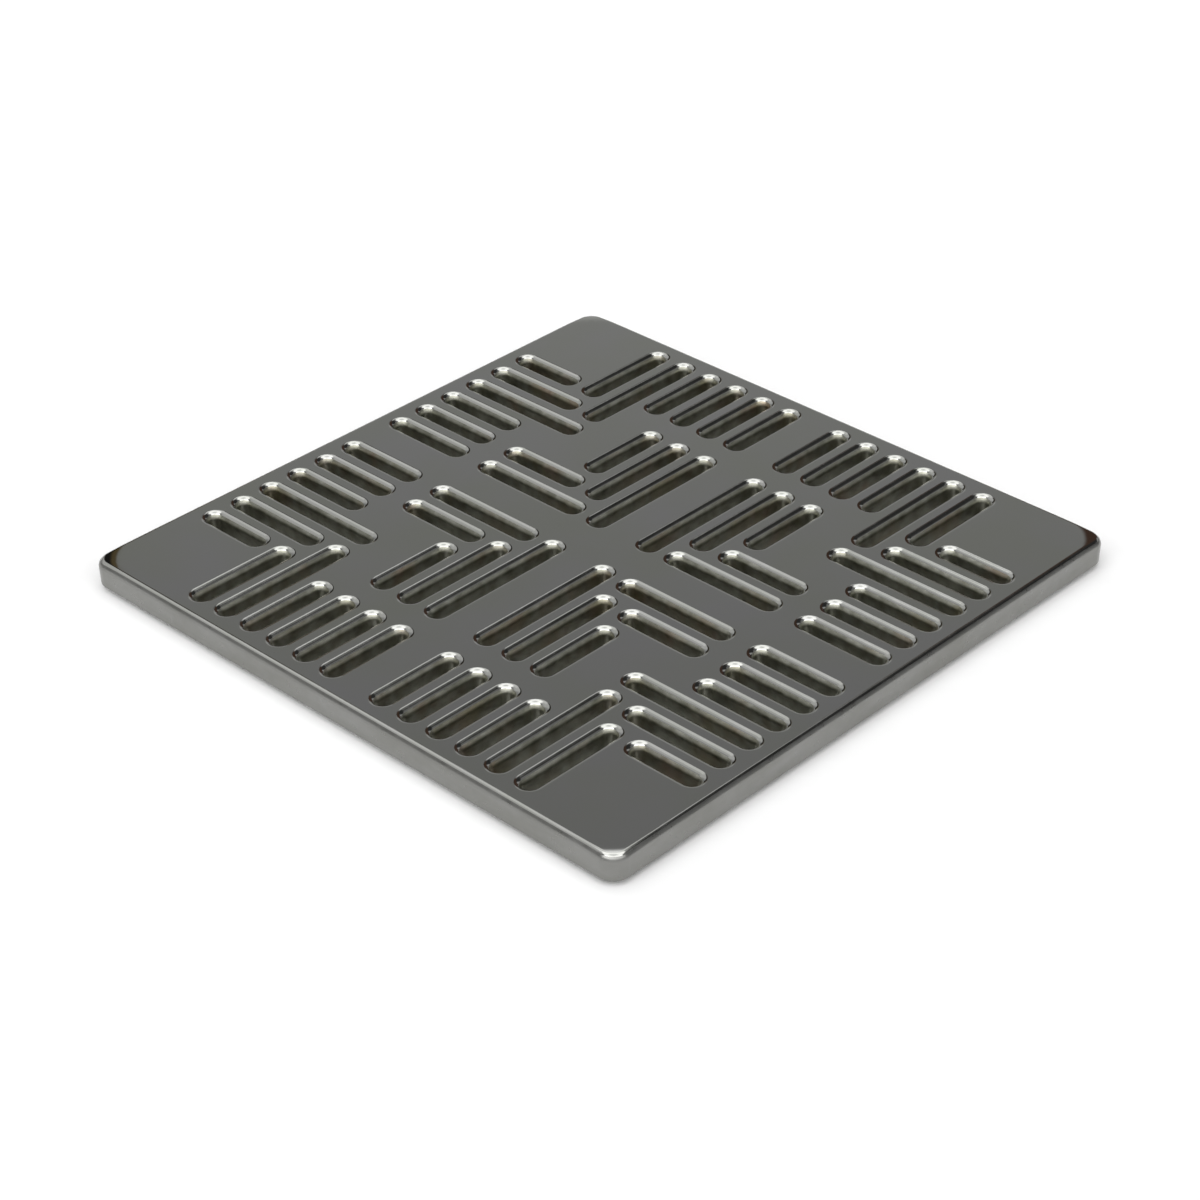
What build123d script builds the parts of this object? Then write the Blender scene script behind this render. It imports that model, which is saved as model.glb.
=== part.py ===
from build123d import *
import os

# A square drop-in grate for a shower or floor drain: one cast and polished metal plate, cut
# through by slots in a woven pattern, standing on four soft pads pressed into its underside.
#
# Units are millimetres. The origin is on the ground under the middle of the plate, where the
# pads stand. +Z points up. The two sides of the plate run along X and Y. The slot pattern
# mirrors in both, but it isn't the same after a quarter turn: the long slots next to the
# middle run along Y.

# The plate
side = 95.25  # the 3 3/4 inch insert of a 4 inch square drain
thickness = 3.8
corner_radius = 2.5
side_draft = 2.0  # degrees, so that the casting leaves its mould and drops into its frame
top_edge_radius = 0.9
bottom_edge_radius = 0.3

# The slots
slot_width = 1.9  # clear width at the walls, below the rounded mouth
slot_half = slot_width / 2
rim_radius = 1.0  # the rounded mouth where a slot meets the top face
under_rim_radius = 0.2
pitch = 5.05  # from one slot to its neighbour
first_row = 4.55  # from the middle of the plate to the first slot on each side
edge_land = 3.4  # from the side of the plate to the outer ends of the slots
block_end = 26.3  # where the slots of the inner block stop
band_start = 31.2  # where the short slots of the outer band start
rows_in_band = 6

# The pads
pad_radius = 4.0
pad_stand = 0.8  # how far a pad stands out below the plate
socket_depth = 1.6
socket_gap = 0.05  # room for adhesive around a pad
pad_from_side = 7.5  # from the side of the plate to the centre of a pad
pad_edge_radius = 0.35
dimple_radius = 1.6
dimple_depth = 0.35

plate_bottom = pad_stand
plate_top = plate_bottom + thickness
slot_outer_end = side / 2 - edge_land
pad_offset = side / 2 - pad_from_side


def row(index):
    """Distance from the middle of the plate to a row of slots, counting outwards from 0."""
    return first_row + index * pitch


def quadrant_slots():
    """The slots of one quarter, each as (runs along X, distance across, start, end).

    Where slots of the two directions meet, each one stops level with the near wall of the
    slot that crosses its path, which makes the woven staircase along the diagonals.
    """
    slots = []
    for index in range(rows_in_band):
        start = band_start if index < 4 else row(index) - slot_half
        slots.append((False, row(index), start, slot_outer_end))
    for index in range(rows_in_band):
        start = band_start if index < 3 else row(index + 1) - slot_half
        slots.append((True, row(index), start, slot_outer_end))
    for index in range(3):
        slots.append((False, row(index), row(index) - slot_half, block_end))
    for index in range(2):
        slots.append((True, row(index), row(index + 1) - slot_half, block_end))
    return slots


def slot_outlines():
    """All the round-ended slot outlines, mirrored into the four quarters of the plate."""
    places = []
    for along_x, across, start, end in quadrant_slots():
        length = end - start
        middle = (start + end) / 2
        for sign_x in (1, -1):
            for sign_y in (1, -1):
                if along_x:
                    places.append((sign_x * middle, sign_y * across, length, 0))
                else:
                    places.append((sign_x * across, sign_y * middle, length, 90))
    return places


def blank_plate():
    """The cast blank, drafted so that its bottom is a little smaller than its top."""
    with BuildPart() as blank:
        with BuildSketch(Plane.XY.offset(plate_top)):
            RectangleRounded(side, side, corner_radius)
        extrude(amount=-thickness, taper=side_draft)
    return blank.part


def slot_cutters():
    """The solids that cut the slots, a little longer than the plate is thick."""
    overshoot = 1.0
    with BuildPart() as cutters:
        with BuildSketch(Plane.XY.offset(plate_bottom - overshoot)):
            for x, y, length, turn in slot_outlines():
                with Locations((x, y)):
                    SlotOverall(length, slot_width, rotation=turn)
        extrude(amount=thickness + 2 * overshoot)
    return cutters.part


def flat_face_at(solid, height):
    """The large flat face of a solid that lies level at a height."""
    faces = solid.faces().filter_by(GeomType.PLANE).filter_by(Axis.Z)
    level = [face for face in faces if abs(face.center().Z - height) < 0.001]
    return max(level, key=lambda face: face.area)


def rounded_plate():
    """The plate with its slots, and the rounding on its rims and outer edges."""
    plate = blank_plate() - slot_cutters()
    top = flat_face_at(plate, plate_top)
    rims = [edge for wire in top.inner_wires() for edge in wire.edges()]
    plate = plate.fillet(rim_radius, rims)
    top = flat_face_at(plate, plate_top)
    plate = plate.fillet(top_edge_radius, top.outer_wire().edges())
    bottom = flat_face_at(plate, plate_bottom)
    rims = [edge for wire in bottom.inner_wires() for edge in wire.edges()]
    plate = plate.fillet(under_rim_radius, rims)
    bottom = flat_face_at(plate, plate_bottom)
    return plate.fillet(bottom_edge_radius, bottom.outer_wire().edges())


def pad_places():
    """The centres of the four pads, by the name of their corner."""
    return {
        "right": (pad_offset, pad_offset),
        "back": (-pad_offset, pad_offset),
        "left": (-pad_offset, -pad_offset),
        "front": (pad_offset, -pad_offset),
    }


def grate_plate():
    """The finished plate, with a blind socket for each pad in its underside."""
    plate = rounded_plate()
    for x, y in pad_places().values():
        place = Pos(x, y, plate_bottom + socket_depth / 2)
        plate -= place * Cylinder(pad_radius + socket_gap, socket_depth)
    return plate


def corner_pad(x, y):
    """A soft round pad, seated on the floor of its socket, dished where it stands."""
    height = pad_stand + socket_depth
    pad = Cylinder(pad_radius, height, align=(Align.CENTER, Align.CENTER, Align.MIN))
    foot = pad.edges().sort_by(Axis.Z)[0]
    pad = pad.fillet(pad_edge_radius, [foot])
    dimple = Cylinder(
        dimple_radius, dimple_depth, align=(Align.CENTER, Align.CENTER, Align.MIN)
    )
    return Pos(x, y, 0) * (pad - dimple)


def save(solid, name):
    """Write one named piece as a STEP file."""
    solid.label = name
    export_step(solid, os.path.join("parts", name + ".step"))


os.makedirs("parts", exist_ok=True)
save(grate_plate(), "grate_plate")
for corner, (pad_x, pad_y) in pad_places().items():
    save(corner_pad(pad_x, pad_y), "corner_pad_" + corner)
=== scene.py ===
import math

import bpy
import numpy as np
from mathutils import Matrix, Vector, geometry, noise


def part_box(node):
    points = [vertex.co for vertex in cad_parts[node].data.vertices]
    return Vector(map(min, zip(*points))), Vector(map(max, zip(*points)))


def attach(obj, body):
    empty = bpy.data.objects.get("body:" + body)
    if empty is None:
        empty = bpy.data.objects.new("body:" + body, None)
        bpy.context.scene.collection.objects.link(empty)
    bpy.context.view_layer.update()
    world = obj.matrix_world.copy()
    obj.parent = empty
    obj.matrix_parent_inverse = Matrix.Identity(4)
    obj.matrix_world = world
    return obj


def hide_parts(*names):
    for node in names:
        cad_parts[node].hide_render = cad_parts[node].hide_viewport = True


# A cast and polished floor drain grate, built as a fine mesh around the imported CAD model.
# Lengths are in metres, written as millimetres times MM.

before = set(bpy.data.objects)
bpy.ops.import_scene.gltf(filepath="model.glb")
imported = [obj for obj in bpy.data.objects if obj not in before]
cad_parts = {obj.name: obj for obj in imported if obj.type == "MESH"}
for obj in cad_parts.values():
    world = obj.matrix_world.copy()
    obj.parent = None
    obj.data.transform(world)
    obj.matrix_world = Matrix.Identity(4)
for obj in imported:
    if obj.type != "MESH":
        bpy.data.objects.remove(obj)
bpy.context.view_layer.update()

MM = 0.001
plate_low, plate_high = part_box("grate_plate")
TOP = plate_high.z
BOTTOM = plate_low.z
HALF_SIDE = plate_high.x

# The outline of the plate
CORNER_RADIUS = 2.5 * MM
SIDE_SLOPE = math.tan(math.radians(2.0))
TOP_EDGE = 0.9 * MM
BOTTOM_EDGE = 0.3 * MM
EDGE_BUFFED_TO = math.radians(37)  # the slope the buffing wheel reaches on the top edge

# The slots, as in the CAD model
SLOT_HALF = 0.95 * MM
RIM_RADIUS = 1.15 * MM  # the rounded mouth of a slot
RIM_START = math.radians(10)  # the polished face cuts the rounding off at this slope
RIM_OUT = RIM_RADIUS * (1 - math.sin(RIM_START))  # how far the mouth reaches over the top
RIM_DEPTH = RIM_RADIUS * math.cos(RIM_START)  # how far down it reaches
CREST = 0.06 * MM  # the line where the face turns into the mouth
BUFFED_TO = math.radians(46)  # the slope the buffing wheel reaches on the mouths
UNDER_RIM = 0.2 * MM
PITCH = 5.05 * MM
FIRST_ROW = 4.55 * MM
SLOT_OUTER_END = 44.225 * MM
BLOCK_END = 26.3 * MM
BAND_START = 31.2 * MM
ROWS_IN_BAND = 6

# The pads and their sockets
PAD_RADIUS = 4.0 * MM
SOCKET_RADIUS = 4.05 * MM
SOCKET_DEPTH = 1.6 * MM

PAD_EDGE = 0.35 * MM
DIMPLE_RADIUS = 1.6 * MM
DIMPLE_DEPTH = 0.35 * MM
DIMPLE_SECTION = ((0.0, 1.0), (0.7, 1.0), (0.93, 0.8), (1.0, 0.35), (1.06, 0.05), (1.15, 0.0))

# The uneven skin of the slot walls
LUMPS, LUMP_SIZE = 0.08 * MM, 1.9 * MM
GRAINS, GRAIN_SIZE = 0.02 * MM, 0.7 * MM
SKIN_AT_MOUTH = 0.25  # the share of it that is there at the top of a wall

# How finely the meshes are cut
MOUTH_RINGS, WALL_RINGS, UNDER_RIM_RINGS = 10, 7, 4
TOP_EDGE_RINGS, SIDE_RINGS, BOTTOM_EDGE_RINGS = 14, 8, 5
SLOT_END_STEPS, SLOT_STEP = 12, 1.0 * MM
CORNER_STEPS, SIDE_STEP = 14, 2.5 * MM
CORNER_SPACING = 0.9 * MM
CORNER_START = 32 * MM  # the extra points lie further out than this along both X and Y
SOCKET_STEPS = 48
PAD_TURNS = 64
TINY = 1e-9

# Polishing rounds the corners of the top face over a little
FLAT_CORNER_RADIUS = 7.0 * MM
FLAT_MARGIN = 0.6 * MM
ROLL_CURVATURE = 0.03 / MM  # drop = curvature times the square of the distance past the flat

POLISHED, BUFFED, SATIN, CAST, UNDERSIDE = range(5)  # the plate's material slots


# ---------------------------------------------------------------- the plate's shape


def row(index):
    """Distance from the middle of the plate to a row of slots, counting outwards from 0."""
    return FIRST_ROW + index * PITCH


def quadrant_slots():
    """The slots of one quarter, each as (runs along X, distance across, start, end)."""
    slots = []
    for index in range(ROWS_IN_BAND):
        start = BAND_START if index < 4 else row(index) - SLOT_HALF
        slots.append((False, row(index), start, SLOT_OUTER_END))
    for index in range(ROWS_IN_BAND):
        start = BAND_START if index < 3 else row(index + 1) - SLOT_HALF
        slots.append((True, row(index), start, SLOT_OUTER_END))
    for index in range(3):
        slots.append((False, row(index), row(index) - SLOT_HALF, BLOCK_END))
    for index in range(2):
        slots.append((True, row(index), row(index + 1) - SLOT_HALF, BLOCK_END))
    return slots


def slot_spines():
    """The two ends of each slot's spine, which its round ends are centred on."""
    spines = []
    for along_x, across, start, end in quadrant_slots():
        near, far = start + SLOT_HALF, end - SLOT_HALF
        for sign_x in (1, -1):
            for sign_y in (1, -1):
                if along_x:
                    ends = ((near, across), (far, across))
                else:
                    ends = ((across, near), (across, far))
                spines.append([np.array((x * sign_x, y * sign_y)) for x, y in ends])
    return spines


def outline(centres, arc_steps, straight_step):
    """A counter-clockwise outline round a convex row of centres: (base points, unit normals).

    A point at any distance d from the centres' outline is base + d * normal.
    """
    bases, normals = [], []
    count = len(centres)
    turn = 2 * math.pi / count
    for index, centre in enumerate(centres):
        following = centres[(index + 1) % count]
        along = following - centre
        length = np.linalg.norm(along)
        along = along / length
        leaving = np.array((along[1], -along[0]))
        start_angle = math.atan2(leaving[1], leaving[0]) - turn
        for step in range(arc_steps):
            angle = start_angle + turn * step / arc_steps
            bases.append(centre)
            normals.append(np.array((math.cos(angle), math.sin(angle))))
        pieces = max(1, round(length / straight_step))
        for step in range(pieces):
            bases.append(centre + along * length * step / pieces)
            normals.append(leaving)
    return np.array(bases), np.array(normals)


def rim_profile():
    """A slot's section from the top face to the underside.

    It is a list of (distance, height, out, up) places and a list of the materials between them.
    """
    section = [(SLOT_HALF + RIM_OUT + CREST, TOP, 0.0, 1.0)]
    materials = [BUFFED]
    slopes = np.linspace(RIM_START, math.pi / 2, MOUTH_RINGS)
    for slope in slopes:
        distance = SLOT_HALF + RIM_RADIUS * (1 - math.sin(slope))
        height = TOP - RIM_RADIUS * (math.cos(RIM_START) - math.cos(slope))
        section.append((distance, height, -math.sin(slope), math.cos(slope)))
    materials += [BUFFED if slope < BUFFED_TO else CAST for slope in slopes[1:]]
    wall_levels = np.linspace(TOP - RIM_DEPTH, BOTTOM + UNDER_RIM, WALL_RINGS)[1:-1]
    section += [(SLOT_HALF, height, -1.0, 0.0) for height in wall_levels]
    for angle in np.linspace(0, math.pi / 2, UNDER_RIM_RINGS):
        out, down = math.cos(angle), math.sin(angle)
        distance = SLOT_HALF + UNDER_RIM * (1 - out)
        section.append((distance, BOTTOM + UNDER_RIM * (1 - down), -out, -down))
    materials += [CAST] * (len(section) - 1 - len(materials))
    return section, materials


def side_profile():
    """The plate's edge from the top face to the underside, given like a slot's section."""
    section = []
    lean = math.atan(SIDE_SLOPE)
    centre = CORNER_RADIUS - TOP_EDGE
    slopes = np.linspace(0, math.pi / 2 + lean, TOP_EDGE_RINGS)
    for slope in slopes:
        out, up = math.sin(slope), math.cos(slope)
        section.append((centre + TOP_EDGE * out, TOP - TOP_EDGE * (1 - up), out, up))
    materials = [BUFFED if slope < EDGE_BUFFED_TO else SATIN for slope in slopes[1:]]
    side_top = TOP - TOP_EDGE * (1 + math.sin(lean))
    side_bottom = BOTTOM + BOTTOM_EDGE * (1 - math.sin(lean))
    reach = centre + TOP_EDGE * math.cos(lean)
    for height in np.linspace(side_top, side_bottom, SIDE_RINGS)[1:-1]:
        inset = (side_top - height) * SIDE_SLOPE
        section.append((reach - inset, height, math.cos(lean), -math.sin(lean)))
    end_reach = reach - (side_top - side_bottom) * SIDE_SLOPE
    centre = end_reach - BOTTOM_EDGE * math.cos(lean)
    for angle in np.linspace(lean, math.pi / 2, BOTTOM_EDGE_RINGS):
        out, down = math.cos(angle), math.sin(angle)
        distance = centre + BOTTOM_EDGE * out
        section.append((distance, BOTTOM + BOTTOM_EDGE * (1 - down), out, -down))
    materials += [SATIN] * (len(section) - 1 - len(materials))
    return section, materials


class Shell:
    """Collects the plate's points, their exact normals, and its faces with their materials."""

    def __init__(self):
        self.points = []
        self.normals = []
        self.faces = []
        self.materials = []

    def ring(self, bases, directions, distance, height, out, up):
        """One closed line of points round an outline, and its first point's number."""
        first = len(self.points)
        for base, direction in zip(bases, directions):
            place = base + direction * distance
            self.points.append((place[0], place[1], height))
            self.normals.append((direction[0] * out, direction[1] * out, up))
        return range(first, first + len(bases))

    def band(self, lower, upper, material):
        """Quads between two rings, facing away from the outline's centre."""
        count = len(lower)
        for index in range(count):
            following = (index + 1) % count
            self.faces.append(
                (lower[index], lower[following], upper[following], upper[index])
            )
            self.materials.append(material)

    def wall(self, bases, directions, section, materials, inwards):
        """A wall from its top ring to its bottom ring, facing inwards in a hole, else outwards."""
        rings = [self.ring(bases, directions, *place) for place in section]
        for upper, lower, material in zip(rings, rings[1:], materials):
            if inwards:
                self.band(upper, lower, material)
            else:
                self.band(lower, upper, material)
        return rings

    def sheet(self, rings, extra, height, up, is_open, material):
        """A level face that joins rings, with extra points in it and holes where is_open."""
        numbers = [number for ring in rings for number in ring]
        edges = []
        first = 0
        for ring in rings:
            count = len(ring)
            edges += [(first + i, first + (i + 1) % count) for i in range(count)]
            first += count
        for x, y in extra:
            numbers.append(len(self.points))
            self.points.append((x, y, height))
            self.normals.append((0.0, 0.0, up))
        flat = [Vector(self.points[number][:2]) for number in numbers]
        result = geometry.delaunay_2d_cdt(flat, edges, [], 0, TINY, True)
        made, triangles, origins = result[0], result[2], result[3]
        for triangle in triangles:
            corners = [made[corner] for corner in triangle]
            middle = sum(corners, Vector((0, 0))) / 3
            if is_open(middle.x, middle.y):
                continue
            face = [numbers[origins[corner][0]] for corner in triangle]
            turn = (corners[1] - corners[0]).cross(corners[2] - corners[0])
            if turn * up < 0:
                face.reverse()
            self.faces.append(tuple(face))
            self.materials.append(material)


def past_flat(x, y):
    """How far points lie outside the flat part of the top face, and in which direction."""
    core = HALF_SIDE - FLAT_MARGIN - FLAT_CORNER_RADIUS
    reach_x = np.maximum(np.abs(x) - core, 0)
    reach_y = np.maximum(np.abs(y) - core, 0)
    reach = np.hypot(reach_x, reach_y)
    distance = np.maximum(reach - FLAT_CORNER_RADIUS, 0)
    safe = np.maximum(reach, TINY)
    return distance, np.sign(x) * reach_x / safe, np.sign(y) * reach_y / safe


def roll_over(points, normals):
    """Lowers the corners of the top face as polishing does, and leans their normals."""
    distance, lean_x, lean_y = past_flat(points[:, 0], points[:, 1])
    share = (points[:, 2] - BOTTOM) / (TOP - BOTTOM)
    points[:, 2] -= ROLL_CURVATURE * distance**2 * share
    slope = 2 * ROLL_CURVATURE * distance * share * np.maximum(normals[:, 2], 0)
    normals[:, 0] += slope * lean_x
    normals[:, 1] += slope * lean_y
    return points, normals / np.linalg.norm(normals, axis=1)[:, None]


def roughen(points, normals):
    """Gives the slot walls the uneven skin of a casting, deeper towards the underside."""
    wall_top = TOP - RIM_DEPTH
    upright = (np.abs(normals[:, 2]) < 0.1) & (points[:, 2] < wall_top + 0.001 * MM)
    inside = np.maximum(np.abs(points[:, 0]), np.abs(points[:, 1])) < SLOT_OUTER_END + UNDER_RIM
    for index in np.nonzero(upright & inside)[0]:
        place = Vector(points[index])
        depth = (wall_top - place.z) / (wall_top - BOTTOM)
        lump = noise.noise(place / LUMP_SIZE) * LUMPS
        grain = noise.noise(place / GRAIN_SIZE) * GRAINS
        points[index] += normals[index] * (lump + grain) * min(1.0, SKIN_AT_MOUTH + depth)
    return points


def pad_centres():
    """Where each pad stands, from its CAD node."""
    centres = {}
    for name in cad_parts:
        if name.startswith("corner_pad"):
            low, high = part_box(name)
            centres[name] = (low + high) / 2
    return centres


def corner_points(spacing):
    """A grid of extra points over the corners of the top face, where it isn't flat."""
    count = int(HALF_SIDE / spacing)
    reach = HALF_SIDE - CORNER_RADIUS
    places = []
    for column in range(-count, count + 1):
        for line in range(-count, count + 1):
            x, y = column * spacing, line * spacing
            beyond = np.hypot(max(abs(x) - reach, 0), max(abs(y) - reach, 0))
            near_edge = beyond > CORNER_RADIUS - TOP_EDGE - spacing / 2
            if not near_edge and min(abs(x), abs(y)) > CORNER_START:
                places.append((x, y))
    return places


def build_plate():
    """The grate plate as one closed mesh."""
    shell = Shell()
    spines = slot_spines()
    top_rings, bottom_rings = [], []

    section, wall_materials = rim_profile()
    for spine in spines:
        bases, directions = outline(spine, SLOT_END_STEPS, SLOT_STEP)
        rings = shell.wall(bases, directions, section, wall_materials, inwards=True)
        top_rings.append(rings[0])
        bottom_rings.append(rings[-1])

    reach = HALF_SIDE - CORNER_RADIUS
    corners = [np.array(c) * reach for c in ((1, -1), (1, 1), (-1, 1), (-1, -1))]
    bases, directions = outline(corners, CORNER_STEPS, SIDE_STEP)
    section, edge_materials = side_profile()
    rings = shell.wall(bases, directions, section, edge_materials, inwards=False)
    top_rings.append(rings[0])
    bottom_rings.append(rings[-1])

    sockets = [np.array(centre[:2]) for centre in pad_centres().values()]
    angles = np.linspace(0, 2 * math.pi, SOCKET_STEPS, endpoint=False)
    circle = np.stack((np.cos(angles), np.sin(angles)), axis=1)
    for centre in sockets:
        bases = np.repeat(centre[None, :], len(circle), axis=0)
        roof = shell.ring(bases, circle, SOCKET_RADIUS, BOTTOM + SOCKET_DEPTH, -1.0, 0.0)
        mouth = shell.ring(bases, circle, SOCKET_RADIUS, BOTTOM, -1.0, 0.0)
        shell.band(roof, mouth, UNDERSIDE)
        shell.faces.append(tuple(reversed(roof)))
        shell.materials.append(UNDERSIDE)
        bottom_rings.append(mouth)

    starts = np.array([spine[0] for spine in spines])
    steps = np.array([spine[1] - spine[0] for spine in spines])

    within = 0.005 * MM  # the middle of a face in a hole is at least this far inside its ring

    def from_slots(x, y):
        away = np.array((x, y)) - starts
        along = np.clip((away * steps).sum(1) / (steps * steps).sum(1), 0, 1)
        return np.hypot(*(away - steps * along[:, None]).T).min()

    def open_above(x, y):
        return from_slots(x, y) < SLOT_HALF + RIM_OUT + CREST - within

    def open_below(x, y):
        from_sockets = min(math.dist((x, y), centre) for centre in sockets)
        in_slot = from_slots(x, y) < SLOT_HALF + UNDER_RIM - within
        return in_slot or from_sockets < SOCKET_RADIUS - within

    shell.sheet(top_rings, corner_points(CORNER_SPACING), TOP, 1.0, open_above, POLISHED)
    shell.sheet(bottom_rings, [], BOTTOM, -1.0, open_below, UNDERSIDE)
    return shell


def finished_plate(materials):
    """The plate as a Blender object, in place of its CAD node."""
    shell = build_plate()
    points, normals = roll_over(np.array(shell.points), np.array(shell.normals))
    points = roughen(points, normals)
    mesh = bpy.data.meshes.new("grate_plate_detailed")
    mesh.from_pydata(points.tolist(), [], shell.faces)
    for material in materials:
        mesh.materials.append(material)
    mesh.polygons.foreach_set("material_index", shell.materials)
    mesh.polygons.foreach_set("use_smooth", [True] * len(shell.faces))
    mesh.validate()
    mesh.update()
    mesh.normals_split_custom_set_from_vertices(normals.tolist())
    plate = bpy.data.objects.new("grate_plate_detailed", mesh)
    bpy.context.scene.collection.objects.link(plate)
    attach(plate, "root")
    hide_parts("grate_plate")
    return plate


# ---------------------------------------------------------------- the pads


def pad_profile(height):
    """A pad's section from the middle of its foot to the middle of its back: (radius, z)."""
    section = [(DIMPLE_RADIUS * out, DIMPLE_DEPTH * deep) for out, deep in DIMPLE_SECTION]
    section += [(PAD_RADIUS * 0.7, 0.0), (PAD_RADIUS - PAD_EDGE, 0.0)]
    for angle in np.radians(np.linspace(18, 90, 5)):
        radius = PAD_RADIUS - PAD_EDGE + PAD_EDGE * math.sin(angle)
        section.append((radius, PAD_EDGE * (1 - math.cos(angle))))
    section += [(PAD_RADIUS, height * 0.6), (PAD_RADIUS, height), (PAD_RADIUS * 0.5, height)]
    section.append((0.0, height))
    return section


def soft_pad(node, centre, material):
    """One moulded pad in place of its CAD node."""
    low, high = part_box(node)
    section = pad_profile(high.z - low.z)
    turns = PAD_TURNS
    points, faces = [], []
    for radius, z in section[1:-1]:
        for turn in range(turns):
            angle = 2 * math.pi * turn / turns
            x = centre.x + radius * math.cos(angle)
            y = centre.y + radius * math.sin(angle)
            points.append((x, y, low.z + z))
    for ring in range(len(section) - 3):
        for turn in range(turns):
            following = (turn + 1) % turns
            here, above = ring * turns, (ring + 1) * turns
            faces.append((here + turn, here + following, above + following, above + turn))
    foot, back = len(points), len(points) + 1
    points.append((centre.x, centre.y, low.z + section[0][1]))
    points.append((centre.x, centre.y, low.z + section[-1][1]))
    last = (len(section) - 3) * turns
    for turn in range(turns):
        following = (turn + 1) % turns
        faces.append((foot, following, turn))
        faces.append((back, last + turn, last + following))
    name = node + "_moulded"
    mesh = bpy.data.meshes.new(name)
    mesh.from_pydata(points, [], faces)
    mesh.materials.append(material)
    mesh.polygons.foreach_set("use_smooth", [True] * len(faces))
    mesh.set_sharp_from_angle(angle=math.radians(50))
    pad = bpy.data.objects.new(name, mesh)
    bpy.context.scene.collection.objects.link(pad)
    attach(pad, "root")
    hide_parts(node)


# ---------------------------------------------------------------- materials


MIX_SHARE, MIX_FIRST, MIX_SECOND, MIX_RESULT = 0, 6, 7, 2  # a colour Mix node's sockets


class Nodes:
    """Short calls for building one material's node tree."""

    def __init__(self, name):
        self.material = bpy.data.materials.new(name)
        self.material.use_nodes = True
        self.tree = self.material.node_tree
        self.shader = self.tree.nodes["Principled BSDF"]
        self.place = self.tree.nodes.new("ShaderNodeTexCoord").outputs["Object"]

    def link(self, source, target):
        self.tree.links.new(source, target)

    def noise(self, size, detail=4.0, roughness=0.5, stretch=(1, 1, 1)):
        """Noise whose features are about this size, from 0 to 1."""
        mapping = self.tree.nodes.new("ShaderNodeMapping")
        mapping.inputs["Scale"].default_value = [s / size for s in stretch]
        self.link(self.place, mapping.inputs["Vector"])
        texture = self.tree.nodes.new("ShaderNodeTexNoise")
        texture.inputs["Scale"].default_value = 1.0
        texture.inputs["Detail"].default_value = detail
        texture.inputs["Roughness"].default_value = roughness
        self.link(mapping.outputs["Vector"], texture.inputs["Vector"])
        return texture.outputs["Fac"]

    def remap(self, value, low, high, new_low, new_high):
        """A value's range stretched onto a new one."""
        node = self.tree.nodes.new("ShaderNodeMapRange")
        for name, number in zip(
            ("From Min", "From Max", "To Min", "To Max"), (low, high, new_low, new_high)
        ):
            node.inputs[name].default_value = number
        self.link(value, node.inputs["Value"])
        return node.outputs["Result"]

    def colours(self, value, stops):
        """Colours along a value, from (position, (r, g, b)) stops."""
        node = self.tree.nodes.new("ShaderNodeValToRGB")
        ramp = node.color_ramp
        ramp.elements[0].position = stops[0][0]
        ramp.elements[0].color = (*stops[0][1], 1)
        ramp.elements[1].position = stops[-1][0]
        ramp.elements[1].color = (*stops[-1][1], 1)
        for position, colour in stops[1:-1]:
            ramp.elements.new(position).color = (*colour, 1)
        self.link(value, node.inputs["Fac"])
        return node.outputs["Color"]

    def blend(self, share, first, second):
        """A mix of two colours."""
        node = self.tree.nodes.new("ShaderNodeMix")
        node.data_type = "RGBA"
        self.link(share, node.inputs[MIX_SHARE])
        self.link(first, node.inputs[MIX_FIRST])
        self.link(second, node.inputs[MIX_SECOND])
        return node.outputs[MIX_RESULT]

    def bump(self, value, depth):
        """A bump of this real depth."""
        node = self.tree.nodes.new("ShaderNodeBump")
        node.inputs["Distance"].default_value = depth
        node.inputs["Strength"].default_value = 1.0
        self.link(value, node.inputs["Height"])
        return node.outputs["Normal"]

    def finish(self, colour, roughness, normal=None, metallic=1.0):
        """Connects the shader and returns the material."""
        self.link(colour, self.shader.inputs["Base Color"])
        self.link(roughness, self.shader.inputs["Roughness"])
        if normal is not None:
            self.link(normal, self.shader.inputs["Normal"])
        self.shader.inputs["Metallic"].default_value = metallic
        return self.material


def polished_metal():
    """Mirror-polished steel with a faint haze, wiping marks and a slow drift of tint."""
    n = Nodes("polished_metal")
    drift = n.noise(14 * MM, detail=2.0)
    tint = n.colours(drift, [(0.3, (0.60, 0.615, 0.555)), (0.7, (0.62, 0.62, 0.615))])
    haze = n.remap(n.noise(6 * MM, detail=5.0), 0.3, 0.75, 0.045, 0.085)
    wipes = n.noise(0.25 * MM, detail=3.0, stretch=(0.06, 1, 1))
    normal = n.bump(wipes, 0.0006 * MM)
    return n.finish(tint, haze, normal)


def buffed_metal():
    """The roundings of the slots and edges, which a soft wheel leaves a little hazy."""
    n = Nodes("buffed_metal")
    drift = n.noise(5 * MM, detail=3.0)
    tint = n.colours(drift, [(0.3, (0.55, 0.56, 0.52)), (0.7, (0.60, 0.60, 0.58))])
    haze = n.remap(n.noise(2.5 * MM, detail=4.0), 0.3, 0.7, 0.07, 0.15)
    ripples = n.bump(n.noise(0.5 * MM, detail=3.0), 0.003 * MM)
    return n.finish(tint, haze, ripples)


def satin_metal():
    """The ground sides of the plate, finely brushed along their length."""
    n = Nodes("satin_metal")
    patches = n.noise(5 * MM, detail=4.0, stretch=(0.5, 0.5, 1.5))
    tint = n.colours(patches, [(0.3, (0.215, 0.215, 0.2)), (0.7, (0.26, 0.26, 0.25))])
    satin = n.remap(n.noise(1.5 * MM, detail=5.0), 0.3, 0.7, 0.26, 0.38)
    lines = n.noise(0.12 * MM, detail=3.0, stretch=(0.03, 0.03, 1))
    normal = n.bump(lines, 0.003 * MM)
    return n.finish(tint, satin, normal)


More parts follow.
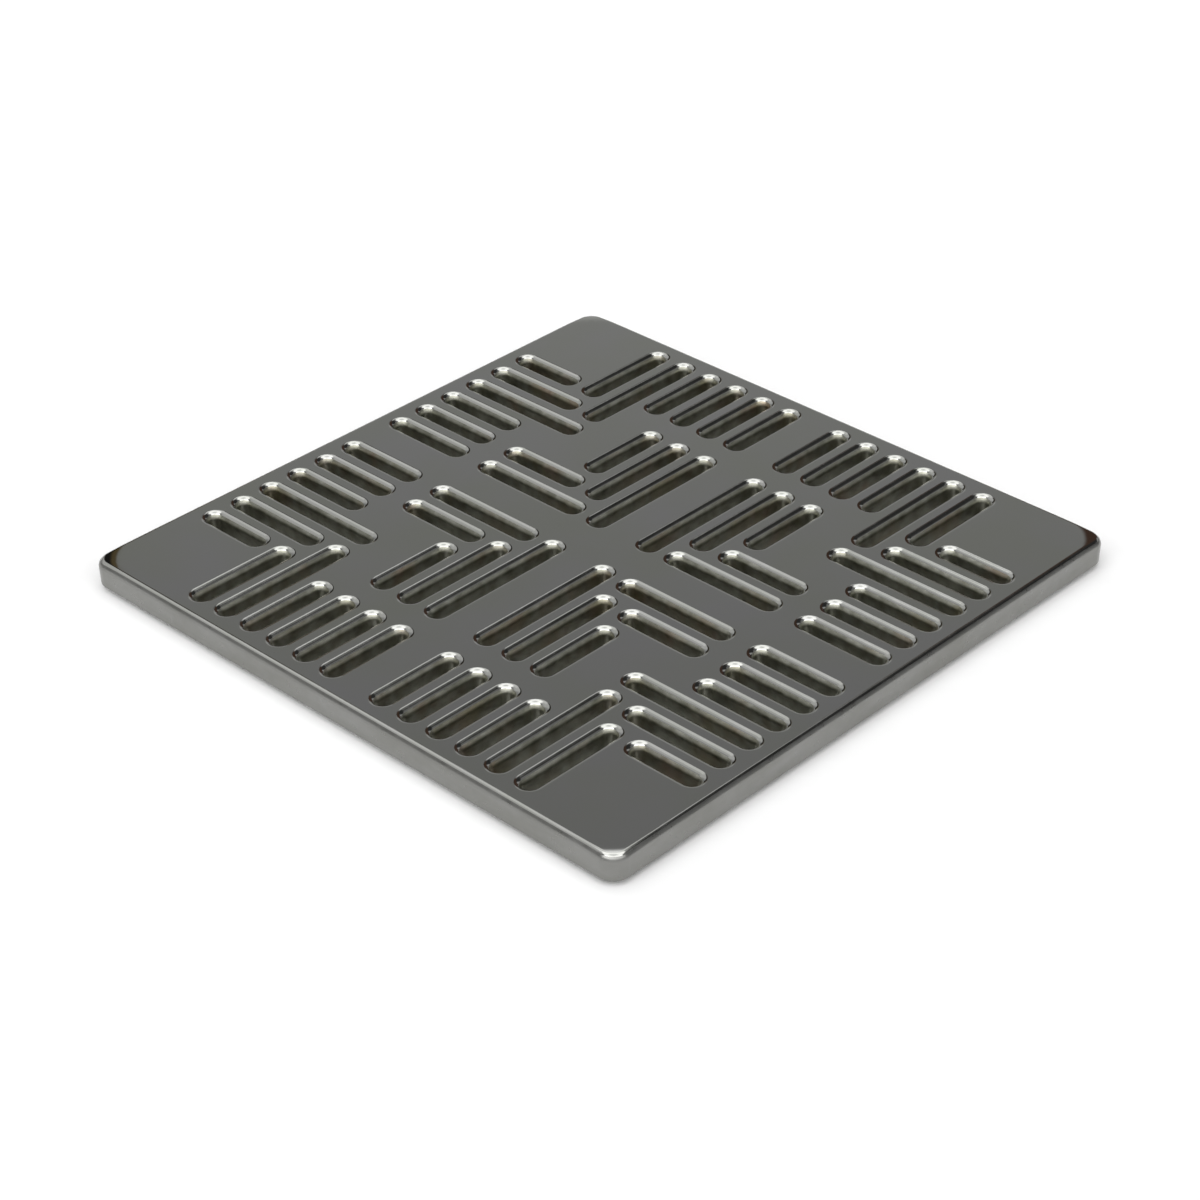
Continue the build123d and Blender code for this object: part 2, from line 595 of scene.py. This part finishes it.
def cast_metal():
    """The slot walls: a cast skin, partly burnished, with darker and rust-tinged patches."""
    n = Nodes("cast_metal")
    mottle = n.colours(
        n.noise(1.8 * MM, detail=4.0, roughness=0.5),
        [(0.3, (0.24, 0.24, 0.195)), (0.5, (0.31, 0.31, 0.26)), (0.72, (0.40, 0.40, 0.35))],
    )
    warm = n.colours(
        n.noise(2.5 * MM, detail=3.0), [(0.4, (0.27, 0.245, 0.16)), (0.7, (0.32, 0.22, 0.165))]
    )
    share = n.remap(n.noise(7 * MM, detail=2.0), 0.5, 0.72, 0.0, 0.7)
    colour = n.blend(share, mottle, warm)
    rough = n.remap(n.noise(0.9 * MM, detail=4.0), 0.3, 0.7, 0.3, 0.45)
    pits = n.bump(n.noise(0.7 * MM, detail=4.0, roughness=0.5), 0.015 * MM)
    return n.finish(colour, rough, pits)


def underside_metal():
    """The unpolished underside, with the grain of the mould."""
    n = Nodes("underside_metal")
    mottle = n.colours(
        n.noise(2.2 * MM, detail=6.0, roughness=0.6),
        [(0.3, (0.24, 0.24, 0.22)), (0.7, (0.37, 0.37, 0.35))],
    )
    rough = n.remap(n.noise(1.2 * MM, detail=4.0), 0.3, 0.7, 0.42, 0.6)
    grain = n.bump(n.noise(0.35 * MM, detail=4.0, roughness=0.6), 0.04 * MM)
    return n.finish(mottle, rough, grain)


def pad_rubber():
    """Dark moulded rubber with a dusty bloom."""
    n = Nodes("pad_rubber")
    bloom = n.colours(
        n.noise(1.4 * MM, detail=5.0), [(0.35, (0.018, 0.018, 0.018)), (0.7, (0.05, 0.05, 0.048))]
    )
    rough = n.remap(n.noise(0.8 * MM, detail=4.0), 0.3, 0.7, 0.6, 0.8)
    grain = n.bump(n.noise(0.18 * MM, detail=3.0), 0.02 * MM)
    return n.finish(bloom, rough, grain, metallic=0.0)


# ---------------------------------------------------------------- camera, floor and light

CAMERA_AZIMUTH = math.radians(44.17)  # 0 looks along +Y
CAMERA_ELEVATION = math.radians(33.12)
CAMERA_ROLL = math.radians(-0.83)
CAMERA_DISTANCE = 380.7 * MM  # to the point of the top face that it aims at
CAMERA_AIM_NEARER = 12.95 * MM  # that point is nearer the camera than the middle
CAMERA_AIM_LEFT = 0.2 * MM
CAMERA_LENS = 88.96  # on the default 36 mm sensor
FLOOR_REACH = 3.0  # metres each way


def aim_camera():
    """The camera at the angle of the reference view."""
    nearer = Vector((math.sin(CAMERA_AZIMUTH), -math.cos(CAMERA_AZIMUTH), 0))
    right = Vector((math.cos(CAMERA_AZIMUTH), math.sin(CAMERA_AZIMUTH), 0))
    back = nearer * math.cos(CAMERA_ELEVATION)
    back.z = math.sin(CAMERA_ELEVATION)
    up = back.cross(right)
    aim = nearer * CAMERA_AIM_NEARER - right * CAMERA_AIM_LEFT + Vector((0, 0, TOP))
    turn = Matrix((right, up, back)).transposed() @ Matrix.Rotation(CAMERA_ROLL, 3, "Z")
    data = bpy.data.cameras.new("camera")
    data.lens = CAMERA_LENS
    data.clip_start = 0.01
    camera = bpy.data.objects.new("camera", data)
    camera.matrix_world = Matrix.Translation(aim + back * CAMERA_DISTANCE) @ turn.to_4x4()
    bpy.context.scene.collection.objects.link(camera)
    bpy.context.scene.camera = camera


def floor_material():
    """Plain white paper, with a grain too faint to see from here."""
    n = Nodes("floor_paper")
    grain = n.noise(3 * MM, detail=4.0)
    colour = n.colours(grain, [(0.3, (0.95, 0.95, 0.95)), (0.7, (0.97, 0.97, 0.97))])
    rough = n.remap(grain, 0.3, 0.7, 0.85, 0.95)
    n.shader.inputs["Specular IOR Level"].default_value = 0.0
    return n.finish(colour, rough, metallic=0.0)


def lay_floor():
    """A wide floor under the object."""
    mesh = bpy.data.meshes.new("floor")
    around = ((-1, -1), (1, -1), (1, 1), (-1, 1))
    corners = [(x * FLOOR_REACH, y * FLOOR_REACH, 0) for x, y in around]
    mesh.from_pydata(corners, [], [(0, 1, 2, 3)])
    mesh.materials.append(floor_material())
    floor = bpy.data.objects.new("floor", mesh)
    bpy.context.scene.collection.objects.link(floor)


class Sky:
    """The studio round the object: a dim room with soft panels, placed by direction."""

    def __init__(self):
        world = bpy.data.worlds.new("studio")
        world.use_nodes = True
        bpy.context.scene.world = world
        self.tree = world.node_tree
        self.background = self.tree.nodes["Background"]
        direction = self.tree.nodes.new("ShaderNodeTexCoord").outputs["Generated"]
        turned = self.tree.nodes.new("ShaderNodeVectorRotate")
        turned.rotation_type = "Z_AXIS"
        turned.inputs["Angle"].default_value = -CAMERA_AZIMUTH
        self.tree.links.new(direction, turned.inputs["Vector"])
        ahead = self.tree.nodes.new("ShaderNodeSeparateXYZ")
        self.tree.links.new(turned.outputs["Vector"], ahead.inputs["Vector"])
        self.azimuth = self.math("ARCTAN2", ahead.outputs["X"], ahead.outputs["Y"])
        self.elevation = self.math("ARCSINE", ahead.outputs["Z"])
        self.light = None

    def math(self, operation, first, second=None):
        """One math node on sockets or numbers."""
        node = self.tree.nodes.new("ShaderNodeMath")
        node.operation = operation
        for index, value in enumerate((first, second)):
            if isinstance(value, (int, float)):
                node.inputs[index].default_value = value
            elif value is not None:
                self.tree.links.new(value, node.inputs[index])
        return node.outputs[0]

    def edge(self, value, low, high, soft):
        """1 between two angles in degrees, falling to 0 over a soft edge in degrees."""
        middle, half = math.radians((low + high) / 2), math.radians((high - low) / 2)
        away = self.math("ABSOLUTE", self.math("SUBTRACT", value, middle))
        node = self.tree.nodes.new("ShaderNodeMapRange")
        node.interpolation_type = "SMOOTHSTEP"
        node.inputs["From Min"].default_value = half + math.radians(soft / 2)
        node.inputs["From Max"].default_value = half - math.radians(soft / 2)
        self.tree.links.new(away, node.inputs["Value"])
        return node.outputs["Result"]

    def lay(self, mask, radiance, colour=(1, 1, 1)):
        """Paints a colour of this radiance over what is there, where the mask is 1."""
        mix = self.tree.nodes.new("ShaderNodeMix")
        mix.data_type = "RGBA"
        if self.light is None:
            mix.inputs[MIX_FIRST].default_value = (0, 0, 0, 1)
        else:
            self.tree.links.new(self.light, mix.inputs[MIX_FIRST])
        mix.inputs[MIX_SECOND].default_value = [part * radiance for part in colour] + [1]
        if isinstance(mask, (int, float)):
            mix.inputs[MIX_SHARE].default_value = mask
        else:
            self.tree.links.new(mask, mix.inputs[MIX_SHARE])
        self.light = mix.outputs[MIX_RESULT]

    def panel(self, azimuths, elevations, radiance, soft=4.0, colour=(1, 1, 1)):
        """A soft panel between two azimuths right of the view and two elevations."""
        mask = self.math(
            "MULTIPLY",
            self.edge(self.azimuth, *azimuths, soft),
            self.edge(self.elevation, *elevations, soft),
        )
        self.lay(mask, radiance, colour)

    def finish(self):
        self.tree.links.new(self.light, self.background.inputs["Color"])


def light_studio():
    """Soft light from above, from the left and from high behind the camera, with dark sides."""
    sky = Sky()
    # the dim room, with a paler band low all round it
    sky.lay(1.0, 0.185)
    sky.panel((-180, 180), (-90, 22), 0.5, soft=34)
    sky.panel((-180, 180), (-90, 13), 0.24, soft=12)
    # a black card on the right, and bright cards high up ahead for the slot mouths
    sky.panel((28, 76), (22, 56), 0.03, soft=8)
    sky.panel((-10, 10), (48, 64), 1.2, soft=5)
    sky.panel((10, 25), (47, 62), 0.75, soft=4)
    # the broad light on the left
    sky.panel((-150, -60), (-20, 8), 1.1, soft=8)
    sky.panel((-100, -24), (14, 64), 0.36, soft=6)
    sky.panel((-84, -24), (22, 64), 0.55, soft=12)
    sky.panel((-56, -10), (46, 64), 0.75, soft=6)
    # dark strips ahead, which the left and right corners of the top reflect
    sky.panel((-24, -13), (-5, 44), 0.012, soft=3)
    sky.panel((-15, -12), (-5, 44), 0.09, soft=2, colour=(1.0, 0.75, 0.4))
    sky.panel((13, 34), (-5, 44), 0.06, soft=3, colour=(1.0, 0.6, 0.45))
    # behind the camera: dim low down, bright higher up
    sky.panel((115, 200), (-5, 30), 0.7, soft=8)
    sky.panel((-200, -115), (-5, 30), 0.7, soft=8)
    sky.panel((115, 200), (30, 64), 2.4, soft=8)
    sky.panel((-200, -115), (30, 64), 3.2, soft=8)
    # overhead, dimmer in the middle
    sky.panel((-180, 180), (62, 92), 1.6, soft=6)
    sky.panel((-180, 180), (80, 92), 0.9, soft=8)
    sky.finish()


finished_plate(
    [polished_metal(), buffed_metal(), satin_metal(), cast_metal(), underside_metal()]
)
rubber = pad_rubber()
for pad_node, pad_centre in pad_centres().items():
    soft_pad(pad_node, pad_centre, rubber)
aim_camera()
lay_floor()
light_studio()
bpy.context.scene.view_settings.view_transform = "Standard"
